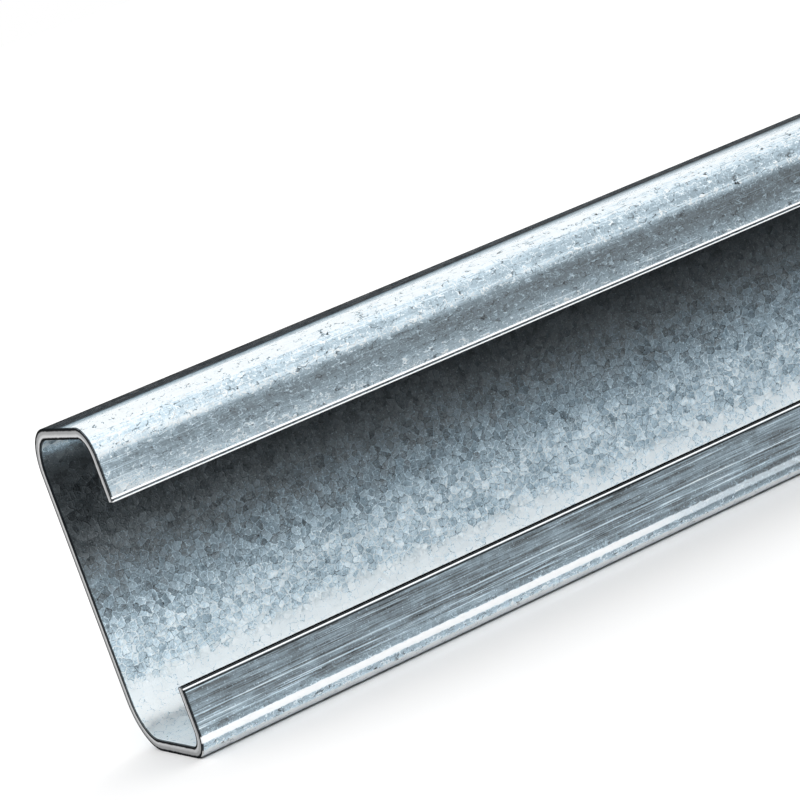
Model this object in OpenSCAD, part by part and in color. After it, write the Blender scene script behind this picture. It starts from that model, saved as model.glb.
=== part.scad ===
// Lipped C-channel, cold roll-formed from one galvanised steel strip and sheared square.
// Millimetres. It stands on its lower flange: the length runs along X, the web is upright on
// the +Y side, the opening between the lips faces -Y, and the origin is at floor level under
// the middle of the section's outline, halfway along.

/* [Section] */
// Depth of the section, over both flanges
web_height = 90; // [75:1:200]
// Width of the section, from the back of the web to the front of the lips
flange_width = 45; // [40:1:100]
// Depth of each lip, from the outside of its flange to its free edge
lip_length = 20; // [16:1:30]
// Thickness of the strip
sheet_thickness = 3.2; // [1.6:0.1:4.5]
// Rounding left on the corners of the strip's slit edges
slit_edge_radius = 0.4; // [0.1:0.1:0.7]

/* [Bends] */
// Radius on the inside of the soft bends between the web and the flanges
web_bend_radius = 10; // [3:0.5:14]
// Radius on the inside of the tighter bends between the flanges and the lips
lip_bend_radius = 5; // [2:0.1:8]

/* [Length] */
// Length that the stock is cut to
stock_length = 1000; // [300:10:6000]

/* [Hidden] */

$fn = 96;
// How much of the section's width and depth each kind of bend takes up
web_bend_reach = web_bend_radius + sheet_thickness;
lip_bend_reach = lip_bend_radius + sheet_thickness;
// Where the back of the web and the front of the lips lie across the section
web_back = flange_width / 2;
lip_front = -flange_width / 2;

// A quarter turn of strip around its own centre, from straight down to straight towards +X
module bend(inside_radius) {
    reach = inside_radius + sheet_thickness;
    difference() {
        intersection() {
            circle(reach);
            translate([-reach, -reach]) square(reach);
        }
        circle(inside_radius);
    }
}

// The free edge of a lip: flat across the strip, with its two corners rounded off
module slit_edge() {
    flat_width = sheet_thickness - 2 * slit_edge_radius;
    translate([slit_edge_radius, -slit_edge_radius]) square([flat_width, slit_edge_radius]);
    intersection() {
        for (x = [slit_edge_radius, sheet_thickness - slit_edge_radius])
            translate([x, -slit_edge_radius]) circle(slit_edge_radius);
        translate([0, -slit_edge_radius]) square([sheet_thickness, slit_edge_radius]);
    }
}

// The lower half of the section: half the web, one flange and its lip
module half_section() {
    translate([web_back - sheet_thickness, web_bend_reach])
        square([sheet_thickness, web_height / 2 - web_bend_reach]);
    translate([web_back - web_bend_reach, web_bend_reach]) mirror([1, 0]) bend(web_bend_radius);
    translate([lip_front + lip_bend_reach, 0])
        square([flange_width - lip_bend_reach - web_bend_reach, sheet_thickness]);
    translate([lip_front + lip_bend_reach, lip_bend_reach]) bend(lip_bend_radius);
    translate([lip_front, lip_bend_reach])
        square([sheet_thickness, lip_length - lip_bend_reach - slit_edge_radius]);
    translate([lip_front, lip_length]) slit_edge();
}

// The one piece of stock: both halves of the section, along the whole length
module c_channel() {
    color([0.62, 0.67, 0.71])
    translate([-stock_length / 2, 0, 0]) rotate([90, 0, 90])
    linear_extrude(stock_length) {
        half_section();
        translate([0, web_height]) mirror([0, 1]) half_section();
    }
}

c_channel();
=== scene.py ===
import math

import bmesh
import bpy
from mathutils import Matrix, Vector


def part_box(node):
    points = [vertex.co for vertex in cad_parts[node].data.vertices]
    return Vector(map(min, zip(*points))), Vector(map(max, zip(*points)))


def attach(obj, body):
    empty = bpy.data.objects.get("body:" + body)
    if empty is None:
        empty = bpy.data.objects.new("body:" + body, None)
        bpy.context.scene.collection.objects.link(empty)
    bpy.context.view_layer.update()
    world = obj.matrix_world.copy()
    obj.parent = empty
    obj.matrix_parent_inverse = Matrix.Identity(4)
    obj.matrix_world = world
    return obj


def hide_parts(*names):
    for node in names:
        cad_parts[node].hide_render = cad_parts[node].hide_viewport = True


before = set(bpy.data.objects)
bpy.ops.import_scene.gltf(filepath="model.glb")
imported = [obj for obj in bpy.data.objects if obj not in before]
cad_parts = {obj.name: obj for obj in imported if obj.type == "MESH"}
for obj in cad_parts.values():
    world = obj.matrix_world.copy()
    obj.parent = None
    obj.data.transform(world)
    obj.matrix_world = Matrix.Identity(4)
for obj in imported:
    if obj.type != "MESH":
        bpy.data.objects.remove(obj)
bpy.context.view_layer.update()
scene = bpy.context.scene
low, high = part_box("c_channel")
middle = (low + high) / 2

# The camera stands in front of the open side, near the left end and a little above the
# channel, and looks along it, so that the length runs away to the upper right.
view_turn = math.radians(-24.71)
view_rise = math.radians(8.25)
view_roll = math.radians(-19.68)
view_distance = 0.852
look_at = Vector((low.x + 0.0895, middle.y - 0.0088, low.z + 0.0628))
camera_data = bpy.data.cameras.new("camera")
camera_data.lens = 145.49
camera_data.clip_end = 1000
camera = bpy.data.objects.new("camera", camera_data)
scene.collection.objects.link(camera)
scene.camera = camera
view_frame = (Matrix.Rotation(view_turn, 4, "Z")
              @ Matrix.Rotation(math.pi / 2 - view_rise, 4, "X")
              @ Matrix.Rotation(view_roll, 4, "Z"))
stand_back = view_frame.col[2].to_3d() * view_distance
camera.matrix_world = Matrix.Translation(look_at + stand_back) @ view_frame

# The channel is one strip of hot-dip galvanised steel, 3.2 mm thick, slit from a coil. Rolls bend it
# cold into two lips, two flanges and a web, and a shear cuts it to length.
strip_thickness = 0.0032
web_bend_inside = 0.010
lip_bend_inside = 0.005
lip_length = 0.020
slit_edge_radius = 0.0004
cut_edge_radius = 0.00025
bend_steps = 18

lip_reach = lip_bend_inside + strip_thickness
web_reach = web_bend_inside + strip_thickness
lip_flat = lip_length - lip_reach
flange_flat = (high.y - low.y) - lip_reach - web_reach
web_flat = (high.z - low.z) - 2 * web_reach
web_bend_y = high.y - web_reach
lip_bend_y = low.y + lip_reach


def grow(section, edge, move, times=1):
    """Carry the strip's last edge on across the section, by one move or by several equal ones."""
    for _ in range(times):
        made = bmesh.ops.extrude_edge_only(section, edges=[edge])["geom"]
        ends = [part for part in made if isinstance(part, bmesh.types.BMVert)]
        bmesh.ops.transform(section, matrix=move, verts=ends)
        edge = section.edges.get(ends)
    return edge


def slide(y, z):
    return Matrix.Translation((0, y, z))


def turn_about(y, z, angle):
    return slide(y, z) @ Matrix.Rotation(angle, 4, "X") @ slide(-y, -z)


strip = bmesh.new()
slit_edge = strip.edges.new([strip.verts.new((low.x, y, low.z + lip_length))
                             for y in (low.y, low.y + strip_thickness)])
bend = math.pi / 2 / bend_steps
slit_edge = grow(strip, slit_edge, slide(0, -lip_flat / 2), 2)
slit_edge = grow(strip, slit_edge, turn_about(lip_bend_y, low.z + lip_reach, bend), bend_steps)
slit_edge = grow(strip, slit_edge, slide(flange_flat / 4, 0), 4)
slit_edge = grow(strip, slit_edge, turn_about(web_bend_y, low.z + web_reach, bend), bend_steps)
slit_edge = grow(strip, slit_edge, slide(0, web_flat / 8), 8)
slit_edge = grow(strip, slit_edge, turn_about(web_bend_y, high.z - web_reach, bend), bend_steps)
slit_edge = grow(strip, slit_edge, slide(-flange_flat / 4, 0), 4)
slit_edge = grow(strip, slit_edge, turn_about(lip_bend_y, high.z - lip_reach, bend), bend_steps)
slit_edge = grow(strip, slit_edge, slide(0, -lip_flat / 2), 2)

far_end = bmesh.ops.extrude_face_region(strip, geom=strip.faces[:])["geom"]
bmesh.ops.translate(strip, vec=(high.x - low.x, 0, 0),
                    verts=[part for part in far_end if isinstance(part, bmesh.types.BMVert)])
bmesh.ops.recalc_face_normals(strip, faces=strip.faces[:])


def runs_along(edge):
    return abs(edge.verts[0].co.x - edge.verts[1].co.x) > (high.x - low.x) / 2


square_enough = math.radians(70)
for is_long, radius, steps in ((True, slit_edge_radius, 4), (False, cut_edge_radius, 3)):
    sharp = [edge for edge in strip.edges
             if runs_along(edge) == is_long and edge.calc_face_angle(0) > square_enough]
    bmesh.ops.bevel(strip, geom=sharp, offset=radius, affect="EDGES", segments=steps, profile=0.5,
                    material=-1)


def strip_place(y, z):
    """Where a point of the section lies in the flat strip: the distance from the middle of the
    web, measured round the bends at mid-thickness, and the height above the inner skin."""
    half = 1 if z > middle.z else -1
    rise = abs(z - middle.z)
    web_middle = web_bend_inside + strip_thickness / 2
    lip_middle = lip_bend_inside + strip_thickness / 2
    if y > web_bend_y and rise < web_flat / 2:
        return half * rise, y - (high.y - strip_thickness)
    if y > web_bend_y:
        up, out = rise - web_flat / 2, y - web_bend_y
        return (half * (web_flat / 2 + math.atan2(up, out) * web_middle),
                math.hypot(up, out) - web_bend_inside)
    start = web_flat / 2 + math.pi / 2 * web_middle
    if y > lip_bend_y:
        return half * (start + web_bend_y - y), rise - ((high.z - low.z) / 2 - strip_thickness)
    start += flange_flat
    up, out = rise - ((high.z - low.z) / 2 - lip_reach), lip_bend_y - y
    if up > 0:
        return half * (start + math.atan2(out, up) * lip_middle), math.hypot(up, out) - lip_bend_inside
    return half * (start + math.pi / 2 * lip_middle - up), out - lip_bend_inside


skin_gap = 0.3
flat_strip = strip.loops.layers.uv.new("flat strip")
depth = strip.verts.layers.float.new("depth")
for face in strip.faces:
    centre = face.calc_center_median()
    outer = strip_place(centre.y, centre.z)[1] > strip_thickness / 2
    for corner in face.loops:
        across, _ = strip_place(corner.vert.co.y, corner.vert.co.z)
        corner[flat_strip].uv = (corner.vert.co.x - low.x, across + (skin_gap if outer else 0))
for point in strip.verts:
    point[depth] = strip_place(point.co.y, point.co.z)[1] / strip_thickness

slit_heights = (low.z + lip_length, high.z - lip_length)
flat_share = 0.36
for face in strip.faces:
    centre = face.calc_center_median()
    off_middle = abs(strip_place(centre.y, centre.z)[1] / strip_thickness - 0.5)
    at_slit = min(abs(centre.z - height) for height in slit_heights) < 1e-5
    on_slit_face = (at_slit and abs(face.normal.z) > 0.9 and off_middle < flat_share
                    and centre.y < low.y + strip_thickness)
    if abs(face.normal.x) > 0.9 or on_slit_face:
        face.material_index = 1
channel_data = bpy.data.meshes.new("channel")
strip.to_mesh(channel_data)
strip.free()
channel_data.shade_smooth()
channel = bpy.data.objects.new("channel", channel_data)
scene.collection.objects.link(channel)
flat_faces = channel.modifiers.new("flat faces stay flat", "WEIGHTED_NORMAL")
flat_faces.weight = 100
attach(channel, "root")
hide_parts("c_channel")

# The strip was dipped in molten zinc before it was formed. The zinc froze as spangle, small flat
# crystals that each tilt their own way. The forming rolls creased the outer skin and drew streaks
# along it; a bright line round the lower lip's bend is a painted highlight.


def add(tree, kind, sockets=None, **settings):
    """A shader node with its settings, and its input sockets set or linked."""
    node = tree.nodes.new("ShaderNode" + kind)
    for name, value in settings.items():
        setattr(node, name, value)
    for socket, value in (sockets or {}).items():
        if isinstance(value, bpy.types.NodeSocket):
            tree.links.new(value, node.inputs[socket])
        else:
            node.inputs[socket].default_value = value
    return node


def maths(tree, operation, *values):
    return add(tree, "Math", dict(enumerate(values)), operation=operation).outputs[0]


def times(tree, *values):
    product = values[0]
    for value in values[1:]:
        product = maths(tree, "MULTIPLY", product, value)
    return product


def total(tree, *values):
    result = values[0]
    for value in values[1:]:
        result = maths(tree, "ADD", result, value)
    return result


def swing(tree, value, amount):
    """A 0 to 1 pattern turned into a change of that amount about zero."""
    return maths(tree, "MULTIPLY", maths(tree, "SUBTRACT", value, 0.5), amount)


def ease(tree, value, start, end, first=0.0, last=1.0):
    """A value eased from first at start to last at end."""
    return add(tree, "MapRange", {"Value": value, "From Min": start, "From Max": end, "To Min": first,
                                  "To Max": last}, interpolation_type="SMOOTHSTEP").outputs["Result"]


def profile(tree, value, stops):
    """A level that follows the value through the stops, each a value and its level."""
    start, end = stops[0][0], stops[-1][0]
    place = add(tree, "MapRange", {"Value": value, "From Min": start, "From Max": end})
    node = add(tree, "ValToRGB", {"Fac": place.outputs["Result"]})
    for stop, (_, level) in zip(node.color_ramp.elements, (stops[0], stops[-1])):
        stop.color = (level, level, level, 1)
    for at, level in stops[1:-1]:
        stop = node.color_ramp.elements.new((at - start) / (end - start))
        stop.color = (level, level, level, 1)
    return node.outputs["Color"]


def stripe(tree, value, centre, half_width, softness):
    """1 within half_width of the centre, easing to 0 over the softness."""
    away = maths(tree, "ABSOLUTE", maths(tree, "SUBTRACT", value, centre))
    return ease(tree, away, half_width + softness, half_width)


def noise(tree, vector, along, across, detail=2.0, roughness=0.5):
    """Noise whose marks are about that long and that wide, in metres, on the flat strip."""
    place = add(tree, "VectorMath", {0: vector, 1: (1 / along, 1 / across, 1)}, operation="MULTIPLY")
    return add(tree, "TexNoise", {"Vector": place.outputs[0], "Scale": 1.0, "Detail": detail,
                                  "Roughness": roughness}, noise_dimensions="2D").outputs["Fac"]


def thin_lines(tree, vector, along, across, faint, full):
    """Lines where noise of that size passes its middle level, from faint away from it to full."""
    level = noise(tree, vector, along, across, 1.0)
    return ease(tree, maths(tree, "ABSOLUTE", maths(tree, "SUBTRACT", level, 0.5)), faint, full)


def start_group(name, inputs, outputs):
    group = bpy.data.node_groups.new(name, "ShaderNodeTree")
    for socket, kind in inputs.items():
        group.interface.new_socket(socket, in_out="INPUT", socket_type="NodeSocket" + kind)
    for socket in outputs:
        group.interface.new_socket(socket, in_out="OUTPUT", socket_type="NodeSocketFloat")
    return group, group.nodes.new("NodeGroupInput").outputs


def finish_group(group, results):
    outlet = group.nodes.new("NodeGroupOutput")
    for name, socket in results.items():
        group.links.new(socket, outlet.inputs[name])


# Spangle: flat crystals of one size, each with its own tone and tilt, fine strokes over its face and
# a border. A slow wander bends the borders.
spangle, given = start_group("spangle", {"Vector": "Vector", "Crystal": "Float", "Slope": "Float"},
                             ["Tone", "Facet", "Strokes", "Border", "Height"])
wander_scale = 800.0
wander_reach = 0.0008
stroke_pace = 70
middle_level = (0.5, 0.5, 0.5)
wander = add(spangle, "TexNoise", {"Vector": given["Vector"], "Scale": wander_scale, "Detail": 1.0},
             noise_dimensions="2D").outputs["Color"]
wander = add(spangle, "VectorMath", {0: wander, 1: middle_level}, operation="SUBTRACT").outputs[0]
wander = add(spangle, "VectorMath", {0: wander, "Scale": wander_reach}, operation="SCALE").outputs[0]
place = add(spangle, "VectorMath", {0: given["Vector"], 1: wander}, operation="ADD").outputs[0]
per_crystal = maths(spangle, "DIVIDE", 1.0, given["Crystal"])
place = add(spangle, "VectorMath", {0: place, "Scale": per_crystal}, operation="SCALE").outputs[0]
cells = {"Vector": place, "Scale": 1.0, "Randomness": 1.0}
crystal = add(spangle, "TexVoronoi", cells, voronoi_dimensions="2D").outputs
border = add(spangle, "TexVoronoi", cells, voronoi_dimensions="2D", feature="DISTANCE_TO_EDGE")
within = add(spangle, "VectorMath", {0: place, 1: crystal["Position"]}, operation="SUBTRACT").outputs[0]
lean = add(spangle, "VectorMath", {0: crystal["Color"], 1: middle_level}, operation="SUBTRACT").outputs[0]
facet = add(spangle, "VectorMath", {0: within, 1: lean}, operation="DOT_PRODUCT").outputs["Value"]
finish_group(spangle, {
    "Tone": add(spangle, "SeparateColor", {"Color": crystal["Color"]}).outputs["Blue"],
    "Facet": facet,
    "Strokes": maths(spangle, "SINE", times(spangle, facet, stroke_pace)),
    "Border": ease(spangle, border.outputs["Distance"], 0.085, 0.02),
    "Height": times(spangle, facet, given["Crystal"], given["Slope"])})

# Roll marks: streaks that the rolls drew along the strip, and a few bright scratches among them.
roll_marks, given = start_group("roll marks", {"Vector": "Vector", "Depth": "Float"},
                                ["Streaks", "Scratches", "Height"])
fine = noise(roll_marks, given["Vector"], 0.016, 0.00042, 3.0, 0.6)
broad = noise(roll_marks, given["Vector"], 0.050, 0.0016)
streaks = total(roll_marks, times(roll_marks, fine, 0.75), times(roll_marks, broad, 0.25))
gate = noise(roll_marks, given["Vector"], 0.018, 0.0012)
scratches = times(roll_marks, thin_lines(roll_marks, given["Vector"], 0.30, 0.0011, 0.020, 0.006),
                  ease(roll_marks, gate, 0.50, 0.56))
scratched = total(roll_marks, streaks, times(roll_marks, scratches, -0.5))
finish_group(roll_marks, {
    "Streaks": ease(roll_marks, streaks, 0.32, 0.68),
    "Scratches": scratches,
    "Height": times(roll_marks, scratched, given["Depth"])})

# Grain: plain speckle of any size, for dust on the zinc and for torn steel.
grain, given = start_group("grain", {"Vector": "Vector", "Size": "Float"}, ["Grain"])
per_grain = maths(grain, "DIVIDE", 1.0, given["Size"])
place = add(grain, "VectorMath", {0: given["Vector"], "Scale": per_grain}, operation="SCALE").outputs[0]
speckle = add(grain, "TexNoise", {"Vector": place, "Scale": 1.0, "Detail": 3.0, "Roughness": 0.6})
finish_group(grain, {"Grain": speckle.outputs["Fac"]})

# Creases: short ridges of zinc that the bending raised, most of them bright and some dark.
creases, given = start_group("creases", {"Vector": "Vector", "Depth": "Float"}, ["Lines", "Height"])
long_ridges = thin_lines(creases, given["Vector"], 0.0042, 0.0022, 0.026, 0.006)
short_ridges = thin_lines(creases, given["Vector"], 0.0019, 0.0013, 0.045, 0.012)
gate = noise(creases, given["Vector"], 0.0020, 0.0015, 1.0)
ridges = times(creases, total(creases, long_ridges, times(creases, short_ridges, 0.7)),
               ease(creases, gate, 0.39, 0.46))
side = noise(creases, given["Vector"], 0.0030, 0.0016, 1.0)
finish_group(creases, {
    "Lines": times(creases, ridges, ease(creases, side, 0.45, 0.51, -0.40, 0.9)),
    "Height": times(creases, ridges, given["Depth"])})

# The zinc's places: across is the distance from the middle of the web round the section, above zero
# towards the upper lip, and along is the distance from the near end.
zinc = bpy.data.materials.new("galvanised zinc")
zinc.use_nodes = True
tree = zinc.node_tree
flat_place = add(tree, "UVMap", uv_map="flat strip").outputs["UV"]
split = add(tree, "SeparateXYZ", {"Vector": flat_place}).outputs
along = split["X"]
outside = maths(tree, "GREATER_THAN", split["Y"], skin_gap / 2)
inside = maths(tree, "SUBTRACT", 1.0, outside)
across = maths(tree, "SUBTRACT", split["Y"], times(tree, outside, skin_gap))
from_middle = maths(tree, "ABSOLUTE", across)
lower_half = maths(tree, "LESS_THAN", across, 0.0)
upper_half = maths(tree, "SUBTRACT", 1.0, lower_half)
millimetres = times(tree, across, 1000)

lip_bend_start = web_flat / 2 + math.pi / 2 * (web_bend_inside + strip_thickness / 2) + flange_flat
lip_bend_end = lip_bend_start + math.pi / 2 * (lip_bend_inside + strip_thickness / 2)
strip_edge = lip_bend_end + lip_flat
on_lip = ease(tree, from_middle, lip_bend_end - 0.0015, lip_bend_end + 0.0010)
on_lower_lip = times(tree, outside, lower_half, on_lip)
past_lip_bend = ease(tree, from_middle, lip_bend_start, lip_bend_start + 0.002)
on_upper_lip = times(tree, outside, upper_half, past_lip_bend)
not_lower_lip = maths(tree, "SUBTRACT", 1.0, on_lower_lip)
flat_web = ease(tree, from_middle, 0.031, 0.026)
back_web = times(tree, outside, ease(tree, from_middle, 0.048, 0.040))

crystals = add(tree, "Group", {"Vector": flat_place, "Crystal": 0.0021, "Slope": 0.42},
               node_tree=spangle).outputs
chips = add(tree, "Group", {"Vector": flat_place, "Crystal": 0.0009, "Slope": 0.30},
            node_tree=spangle).outputs
marks = add(tree, "Group", {"Vector": flat_place, "Depth": 0.00002},
            node_tree=roll_marks).outputs
folds = add(tree, "Group", {"Vector": flat_place, "Depth": 0.00006},
            node_tree=creases).outputs
dust = add(tree, "Group", {"Vector": flat_place, "Size": 0.0005}, node_tree=grain).outputs["Grain"]
clouds = noise(tree, flat_place, 0.011, 0.007, 3.0, 0.6)
mottle = noise(tree, flat_place, 0.018, 0.006, 2.0, 0.6)
broken = noise(tree, flat_place, 0.0024, 0.0020, 1.0)
# Sparse bright specks are painted glints on the spangle.
painted_glints = ease(tree, noise(tree, flat_place, 0.0006, 0.0005, 0.0), 0.76, 0.84)

# The zinc's tone round the section, by millimetres across, is its grey with painted light and shade
# on it. Inside, the web is painted darker towards the top under the upper lip and lighter down in
# the trough, with a painted highlight inside the upper bend.
inner_tone_and_painted_light = profile(tree, millimetres, (
    (-95.8, 0.95), (-76, 1.0), (-70, 1.25), (-50, 1.25), (-40, 1.25), (-35, 1.25), (-31, 1.25),
    (-28.2, 1.20), (-24.8, 0.84), (-21, 0.84), (-16.6, 0.85), (-11.3, 0.62), (-6, 0.43), (-1.1, 0.345),
    (3.7, 0.26), (8.2, 0.21), (13.6, 0.135), (18, 0.088), (30, 0.075), (34, 0.075), (38, 0.22),
    (41, 0.75), (43, 1.0), (48.5, 1.0), (49.5, 0.2), (95.8, 0.2)))
# Outside, the upper flange's front and both lip bends carry painted highlights, the lips painted lighter
# and darker bands, a painted dark strip runs along the top and a painted dark line along the bottom edge.
outer_tone_and_painted_light = profile(tree, millimetres, (
    (-95.8, 0.32), (-90, 0.34), (-86, 0.325), (-83.5, 0.39), (-80, 0.62), (-78.5, 1.0), (-76.5, 1.0),
    (-75.9, 0.03), (-73, 0.05), (-70, 0.3), (-48, 0.3), (-32, 0.62), (32, 0.62), (47, 0.5),
    (48.6, 0.10), (50.2, 0.10), (51, 0.16), (59, 0.16), (62, 0.40), (65, 0.62), (69, 0.88), (71, 1.25),
    (77.5, 1.12), (79.5, 0.64), (81.5, 0.51), (83, 0.82), (84.5, 0.39), (86.7, 0.275), (90.2, 0.365),
    (93.8, 0.60), (95.8, 0.72)))
skin_tone_and_painted_light = total(tree, times(tree, inside, inner_tone_and_painted_light), times(tree, outside, outer_tone_and_painted_light))

pale_skin = ease(tree, skin_tone_and_painted_light, 0.50, 0.90, 0, 0.35)
rolled = times(tree, outside, total(tree, 0.20, times(tree, on_lower_lip, 0.80),
                                    times(tree, on_upper_lip, pale_skin)))
scratched = total(tree, times(tree, on_lower_lip, 1.2), times(tree, on_upper_lip, 0.6))
spangled = total(tree, inside, times(tree, outside, 0.3), times(tree, back_web, 0.6))
bright_skin = ease(tree, skin_tone_and_painted_light, 0.12, 0.35, 0.25, 1.0)
crystal_rims = ease(tree, broken, 0.44, 0.50, -0.46, 0.66)
chip_rims = ease(tree, broken, 0.42, 0.58, 0.36, -0.34)
crease_strength = ease(tree, skin_tone_and_painted_light, 0.45, 0.90, 1.0, 1.8)
change = total(tree, 1.0,
               times(tree, swing(tree, crystals["Tone"], 0.46), spangled),
               times(tree, crystals["Facet"], spangled, 0.55),
               times(tree, chips["Facet"], spangled, 0.40),
               times(tree, crystals["Strokes"], spangled, 0.09),
               swing(tree, clouds, 0.36),
               times(tree, swing(tree, mottle, 0.55), on_lower_lip),
               swing(tree, dust, 0.22),
               times(tree, swing(tree, marks["Streaks"], 1.0), rolled),
               times(tree, marks["Scratches"], scratched),
               times(tree, folds["Lines"], outside, not_lower_lip, crease_strength),
               times(tree, crystals["Border"], spangled, bright_skin, crystal_rims),
               times(tree, chips["Border"], spangled, bright_skin, chip_rims),
               times(tree, painted_glints, 0.8))

# Painted light falls off along the channel: the upper lip is painted paler towards the near end,
# and the painted light and shade of some other strips drifts along it too.
near_end_painted_light = profile(tree, along, (
    (0, 1.6), (0.02, 1.36), (0.045, 1.20), (0.11, 1.04), (0.2, 0.85), (1, 0.85)))
near_end_painted_light = total(tree, 1.0, times(tree, maths(tree, "SUBTRACT", near_end_painted_light, 1.0), on_upper_lip))
from_end = ease(tree, along, 0.03, 0.20)
far_off = ease(tree, along, 0.11, 0.18)
lower_bend = times(tree, outside, lower_half, stripe(tree, from_middle, 0.0815, 0.0018, 0.001))
trough = times(tree, inside, lower_half, ease(tree, from_middle, 0.025, 0.029))
top_flange = times(tree, outside, upper_half, stripe(tree, from_middle, 0.059, 0.010, 0.002))
# Painted light along the length: the trough brighter near the end, the top flange darker near the end,
# the lower bend's painted highlight and the web fainter far off.
painted_light_drift = total(tree, 1.0,
              times(tree, trough, ease(tree, from_end, 0, 1, 0.25, -0.10)),
              times(tree, top_flange, ease(tree, from_end, 0, 1, -0.20, 0.0)),
              times(tree, lower_bend, far_off, -0.45),
              times(tree, inside, flat_web, far_off, -0.06))
tone = times(tree, skin_tone_and_painted_light, change, times(tree, near_end_painted_light, painted_light_drift))

# A painted highlight runs as a bright line round the lower lip's bend, with a painted warm-grey
# reflection along the heel, and the rolls left thin lines above it, by metres from the web's
# middle. The slitting knife left two low beads along the upper lip's edge, and along the lower
# lip's edge one bead under a dark band, by millimetres from the edge; the beads are painted as
# white highlight lines, with a painted dark line beside the first.
bend_highlight_place = 0.0818
heel_place = 0.0777
drawn_line_place = 0.0880
faint_line_places = (0.0859, 0.0845)
ragged = total(tree, from_middle, swing(tree, noise(tree, flat_place, 0.0020, 0.0008, 2.0), 0.0004))
# The bend's painted highlight, fainter far off.
bend_highlight = times(tree, outside, lower_half, stripe(tree, ragged, bend_highlight_place, 0.0006, 0.0004),
                 ease(tree, far_off, 0, 1, 1.0, 0.35))
# The heel's painted warm-grey reflection.
heel_reflection = times(tree, outside, lower_half, stripe(tree, ragged, heel_place, 0.0009, 0.0006))
drawn = stripe(tree, from_middle, drawn_line_place, 0.00006, 0.00022)
for faint_line_place in faint_line_places:
    faint_line = stripe(tree, from_middle, faint_line_place, 0.00005, 0.00020)
    drawn = total(tree, drawn, times(tree, faint_line, marks["Streaks"]))
drawn = times(tree, outside, lower_half, drawn)
dark_band_width = 0.32
edge_gap = times(tree, maths(tree, "SUBTRACT", strip_edge, from_middle), 1000)
bead_gap = total(tree, edge_gap, times(tree, lower_half, -dark_band_width))
first_bead = times(tree, outside, ease(tree, bead_gap, 0.38, 0.28), ease(tree, bead_gap, -0.10, 0.0))
lower_edge_dark_band = times(tree, outside, lower_half, ease(tree, bead_gap, 0.0, -0.10))
# A painted dark line beside the first bead.
painted_dark_line = times(tree, outside, stripe(tree, bead_gap, 0.68, 0.16, 0.12))
second_bead = times(tree, outside, upper_half, stripe(tree, edge_gap, 1.15, 0.17, 0.12))
# The painted white highlight lines: the bend's line and the beads.
painted_highlight_lines = maths(tree, "MAXIMUM", bend_highlight, maths(tree, "MAXIMUM", first_bead, second_bead))
tone = total(tree, tone, times(tree, painted_highlight_lines, 0.9), times(tree, drawn, 0.45))
tone = times(tree, tone, ease(tree, painted_dark_line, 0, 1, 1.0, 0.15))

# A dark rim runs along the inner edges, round both ends and along the lower lip's edge.
inner_edge = times(tree, inside, ease(tree, edge_gap, 0.6, 0.3))
end_gap = maths(tree, "MINIMUM", along, maths(tree, "SUBTRACT", high.x - low.x, along))
dark_rim = maths(tree, "MAXIMUM", inner_edge, ease(tree, end_gap, 0.00055, 0.00030))
dark_rim = maths(tree, "MAXIMUM", dark_rim, lower_edge_dark_band)
tone = times(tree, tone, ease(tree, dark_rim, 0, 1, 1.0, 0.05))

zinc_colours = (
    (0.0, (0.008, 0.011, 0.014)),
    (0.20, (0.178, 0.202, 0.216)),
    (0.45, (0.360, 0.452, 0.515)),
    (0.8, (0.665, 0.805, 0.895)),
    (1.0, (0.87, 0.955, 1.0)),
    (1.25, (0.93, 0.98, 1.0)))
heel_reflection_colour = (0.80, 0.79, 0.78, 1)
highlight_colour = (0.98, 0.99, 1.0, 1)
brightest = zinc_colours[-1][0]
shade = add(tree, "ValToRGB", {"Fac": maths(tree, "DIVIDE", tone, brightest)})
for stop, (_, colour) in zip(shade.color_ramp.elements, (zinc_colours[0], zinc_colours[-1])):
    stop.color = (*colour, 1)
for level, colour in zinc_colours[1:-1]:
    stop = shade.color_ramp.elements.new(level / brightest)
    stop.color = (*colour, 1)
# Mix in the heel's painted reflection and the painted white highlight lines.
shade = add(tree, "Mix", {"Factor": times(tree, heel_reflection, 0.6), "A": shade.outputs["Color"],
                          "B": heel_reflection_colour}, data_type="RGBA")
shade = add(tree, "Mix", {"Factor": times(tree, painted_highlight_lines, 0.9), "A": shade.outputs["Result"],
                          "B": highlight_colour}, data_type="RGBA")
surface = tree.nodes["Principled BSDF"]
tree.links.new(shade.outputs["Result"], surface.inputs["Base Color"])
surface.inputs["Specular IOR Level"].default_value = 0

# The strip along the upper flange's back edge has a painted dark slate reflection, also where it is seen
# at a low angle; its place shifts along the channel.
flange_place = total(tree, millimetres, ease(tree, from_end, 0, 1, -0.8, 4.0))
painted_flange_reflection = profile(tree, flange_place, (
    (-95.8, 1.0), (44, 1.0), (47, 0.02), (50.5, 0.03), (52.5, 0.06), (58.5, 0.08), (59.3, 0.02),
    (62.0, 0.02), (63.0, 0.50), (65.5, 0.70), (68.5, 0.90), (70.5, 1.0), (95.8, 1.0)))
painted_reflection_tint = total(tree, 1.0, times(tree, outside, total(tree, painted_flange_reflection, -1.0)))
slate_red = maths(tree, "POWER", painted_reflection_tint, 1.4)
slate_green = maths(tree, "POWER", painted_reflection_tint, 1.12)
painted_reflection_tint = add(tree, "CombineColor", {"Red": slate_red, "Green": slate_green, "Blue": painted_reflection_tint})
tree.links.new(painted_reflection_tint.outputs["Color"], surface.inputs["Specular Tint"])

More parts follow.
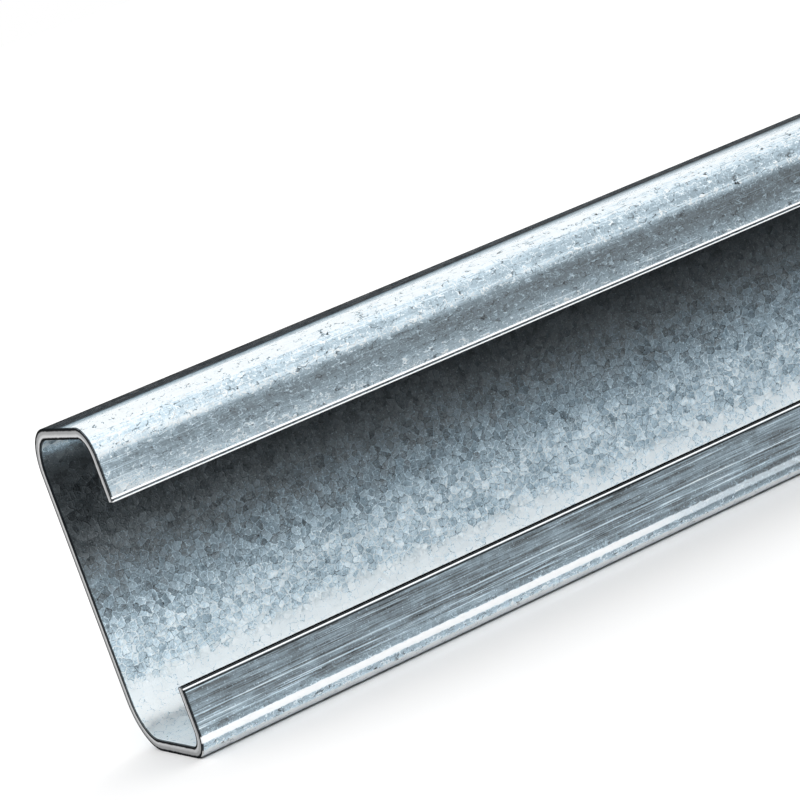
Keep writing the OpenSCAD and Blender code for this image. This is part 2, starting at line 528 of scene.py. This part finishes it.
dull = maths(tree, "MAXIMUM", dark_rim, painted_highlight_lines)
tree.links.new(maths(tree, "SUBTRACT", 1.0, dull), surface.inputs["Metallic"])
inner_roughness = profile(tree, millimetres, (
    (-95.8, 0.60), (-52, 0.60), (-49, 0.50), (-31, 0.50), (-27, 0.58), (27, 0.58), (31, 0.46),
    (49, 0.46), (52, 0.60), (95.8, 0.60)))
outer_roughness = profile(tree, millimetres, (
    (-95.8, 0.50), (-84, 0.50), (-82, 0.36), (-75, 0.36), (-73, 0.50), (48, 0.40), (51, 0.26),
    (70, 0.26), (74, 0.30), (77, 0.36), (80, 0.48), (84, 0.50), (95.8, 0.46)))
roughness = total(tree, times(tree, inside, inner_roughness), times(tree, outside, outer_roughness),
                  swing(tree, crystals["Tone"], 0.10))
tree.links.new(roughness, surface.inputs["Roughness"])

crystal_rim_height = 0.000050
chip_rim_height = 0.000016
bead_height = 0.00003
crystal_height = total(tree, crystals["Height"], chips["Height"],
                       times(tree, crystals["Border"], crystal_rim_height),
                       times(tree, chips["Border"], chip_rim_height))
inner_crystals = ease(tree, flat_web, 0, 1, 0.15, 1.0)
outer_crystals = ease(tree, back_web, 0, 1, 0.07, 0.6)
clear_of_beads = ease(tree, edge_gap, 1.3, 2.0)
clear_of_slate = ease(tree, from_middle, 0.064, 0.068)
web_bend_swell = ease(tree, from_middle, 0.0270, 0.0365, 0, 0.0013)
height = total(tree, times(tree, crystal_height, inside, inner_crystals),
               times(tree, crystal_height, outside, outer_crystals),
               times(tree, marks["Height"], rolled),
               times(tree, folds["Height"], outside, not_lower_lip, clear_of_beads, clear_of_slate),
               times(tree, first_bead, bead_height), times(tree, second_bead, bead_height),
               times(tree, inside, web_bend_swell))
relief = add(tree, "Bump", {"Height": height, "Distance": 1.0, "Strength": 1.0})
tree.links.new(relief.outputs["Normal"], surface.inputs["Normal"])
channel_data.materials.append(zinc)

# The sheared ends and the slit edges are bare cut steel: a bright sheared zone by one skin, a rough
# torn zone beyond it, and a black rim along both skins.
steel = bpy.data.materials.new("cut steel")
steel.use_nodes = True
tree = steel.node_tree
through = add(tree, "Attribute", attribute_name="depth").outputs["Fac"]
here = add(tree, "TexCoord").outputs["Object"]
from_centre = maths(tree, "ABSOLUTE", add(tree, "SeparateXYZ", {"Vector": here}).outputs["X"])
end_margin = 0.0004
on_slit = maths(tree, "LESS_THAN", from_centre, (high.x - low.x) / 2 - end_margin)
crumbs = add(tree, "Group", {"Vector": here, "Size": 0.0004}, node_tree=grain).outputs["Grain"]
tear = add(tree, "Group", {"Vector": here, "Size": 0.0020}, node_tree=grain).outputs["Grain"]
level = total(tree, through, swing(tree, tear, 0.12))
end_tone = profile(tree, level, (
    (0, 0.0), (0.19, 0.0), (0.28, 0.62), (0.42, 0.50), (0.55, 0.36), (0.70, 0.38), (0.80, 0.0),
    (1, 0.0)))
slit_tone = profile(tree, level, (
    (0, 0.0), (0.78, 0.0), (0.86, 0.30), (0.94, 1.0), (1, 1.0)))
tone = add(tree, "Mix", {"Factor": on_slit, "A": end_tone, "B": slit_tone},
           data_type="RGBA").outputs["Result"]
tone = total(tree, tone, times(tree, tone, swing(tree, crumbs, 0.5)))
black_rim = (0.01, 0.011, 0.012, 1)
bare_steel = (0.92, 0.93, 0.94, 1)
crumb_height = 0.00004
shade = add(tree, "Mix", {"Factor": tone, "A": black_rim, "B": bare_steel},
            data_type="RGBA", clamp_factor=True)
surface = tree.nodes["Principled BSDF"]
tree.links.new(shade.outputs["Result"], surface.inputs["Base Color"])
surface.inputs["Specular IOR Level"].default_value = 0
tree.links.new(ease(tree, tone, 0.05, 0.20), surface.inputs["Metallic"])
tree.links.new(ease(tree, level, 0.4, 0.6, 0.45, 0.65), surface.inputs["Roughness"])
relief = add(tree, "Bump", {"Height": times(tree, crumbs, crumb_height), "Distance": 1.0,
                            "Strength": 1.0})
tree.links.new(relief.outputs["Normal"], surface.inputs["Normal"])
channel_data.materials.append(steel)

# The channel stands on a wide pale studio floor with a dull paint.
floor_reach = 200
floor_data = bpy.data.meshes.new("floor")
floor_mesh = bmesh.new()
bmesh.ops.create_grid(floor_mesh, x_segments=1, y_segments=1, size=floor_reach)
floor_mesh.to_mesh(floor_data)
floor_mesh.free()
floor = bpy.data.objects.new("floor", floor_data)
scene.collection.objects.link(floor)
floor_paint = bpy.data.materials.new("floor paint")
floor_paint.use_nodes = True
surface = floor_paint.node_tree.nodes["Principled BSDF"]
surface.inputs["Base Color"].default_value = (0.92, 0.92, 0.92, 1)
surface.inputs["Roughness"].default_value = 1
surface.inputs["Specular IOR Level"].default_value = 0
floor_data.materials.append(floor_paint)

# A grey cloth lies on the floor before the channel. It shows only in the metal, where it keeps the
# lips and the top of the web darker than the white studio would.
cloth_length = 8.0
cloth_width = 1.45
cloth_gap = 0.0275
cloth_rise = 0.0008
cloth_data = bpy.data.meshes.new("grey cloth")
cloth_mesh = bmesh.new()
cloth_place = (low.x + cloth_length / 2, low.y - cloth_gap - cloth_width / 2, cloth_rise)
cloth_size = Matrix.Diagonal((cloth_length, cloth_width, 1, 1))
bmesh.ops.create_grid(cloth_mesh, x_segments=1, y_segments=1, size=0.5,
                      matrix=Matrix.Translation(cloth_place) @ cloth_size)
cloth_mesh.to_mesh(cloth_data)
cloth_mesh.free()
cloth = bpy.data.objects.new("grey cloth", cloth_data)
scene.collection.objects.link(cloth)
cloth.visible_camera = False
cloth.visible_diffuse = False
cloth.visible_shadow = False
cloth_dye = bpy.data.materials.new("grey dye")
cloth_dye.use_nodes = True
surface = cloth_dye.node_tree.nodes["Principled BSDF"]
surface.inputs["Base Color"].default_value = (0.20, 0.20, 0.20, 1)
surface.inputs["Specular IOR Level"].default_value = 0
cloth_data.materials.append(cloth_dye)

# The studio is white all round, to the eye and in the metal. Soft light falls on the floor from long
# banks beside the channel, one above the open side and one over the top and behind. Their strength
# goes by degrees, from 0 at the front horizon over 90 at the top to 180 at the back horizon.
studio = bpy.data.worlds.new("studio")
studio.use_nodes = True
tree = studio.node_tree
toward = add(tree, "SeparateXYZ", {"Vector": add(tree, "TexCoord").outputs["Generated"]}).outputs
over = maths(tree, "ARCTAN2", toward["Z"], times(tree, toward["Y"], -1.0))
banks = profile(tree, maths(tree, "DEGREES", over), (
    (0, 0), (10, 0), (17, 1.2), (25, 2.9), (33, 2.9), (42, 1.3), (55, 0.9), (72, 0.9), (90, 1.1),
    (105, 1.4), (120, 1.4), (140, 1.4), (150, 1.3), (160, 1.3), (168, 0.9), (173, 0.2), (177, 0),
    (180, 0)))
rays = add(tree, "LightPath").outputs
reflected = maths(tree, "MAXIMUM", rays["Is Glossy Ray"], rays["Is Transmission Ray"])
background = maths(tree, "MAXIMUM", rays["Is Camera Ray"], reflected)
white = (1, 1, 1, 1)
seen = add(tree, "Mix", {"Factor": background, "A": banks, "B": white}, data_type="RGBA")
tree.links.new(seen.outputs["Result"], tree.nodes["Background"].inputs["Color"])
scene.world = studio

scene.view_settings.view_transform = "Standard"
